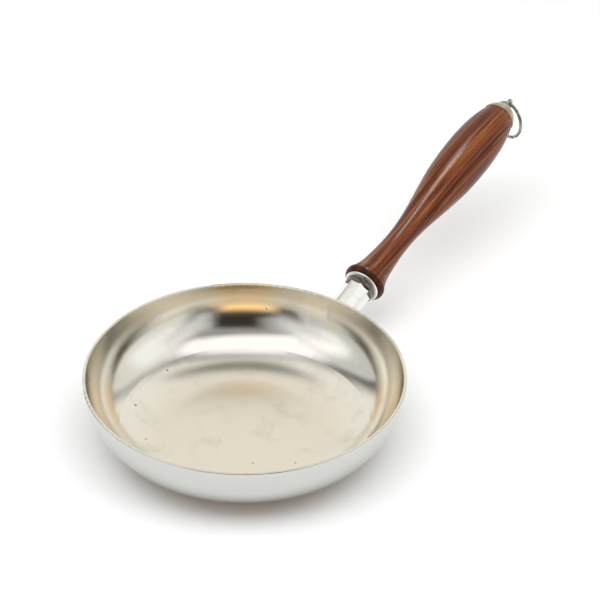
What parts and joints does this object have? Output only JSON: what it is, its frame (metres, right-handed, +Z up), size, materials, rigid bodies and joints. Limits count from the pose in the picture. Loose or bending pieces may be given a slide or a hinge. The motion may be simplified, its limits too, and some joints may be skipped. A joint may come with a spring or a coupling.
{
  "type": "omelette pan",
  "caption": "Shallow round omelette pan with a spun metal body, a fluted metal shank, a turned wooden handle, a domed end cap and a hanging ring.",
  "frame": {"origin": "centre of the pan's flat base, on the surface that it stands on", "axes": "+X towards the handle, +Z up out of the open pan"},
  "size_m": [0.4484, 0.1998, 0.0855],
  "materials": {
    "pan_silver": "spun satin inside with a warm straw tint, bright outside, heat browned underneath",
    "braze": "dull cast bead",
    "bright_silver": "silver plated, polished",
    "rosewood": "oiled and polished, red brown with dark streaks along the grain",
    "rod_steel": "plain steel",
    "cap_silver": "worn silver plate with a champagne tone",
    "ring_wire": "worn wire"
  },
  "bodies": {
    "pan": {"pan_body": "pan_silver", "braze_seam": "braze", "handle_shank": "bright_silver", "ferrule": "bright_silver", "wooden_grip": "rosewood", "tie_rod": "rod_steel", "tie_washer": "rod_steel", "tie_nut": "rod_steel", "end_cap": "cap_silver", "hanging_eye": "cap_silver"},
    "ring": {"hanging_ring": "ring_wire"}
  },
  "joints": [
    {"name": "ring_swing", "type": "hinge", "parent": "pan", "child": "ring", "pos_m": [0.34305, 0, 0.07725], "axis": [0, 1, 0], "range_deg": [-240, 40]}
  ]
}
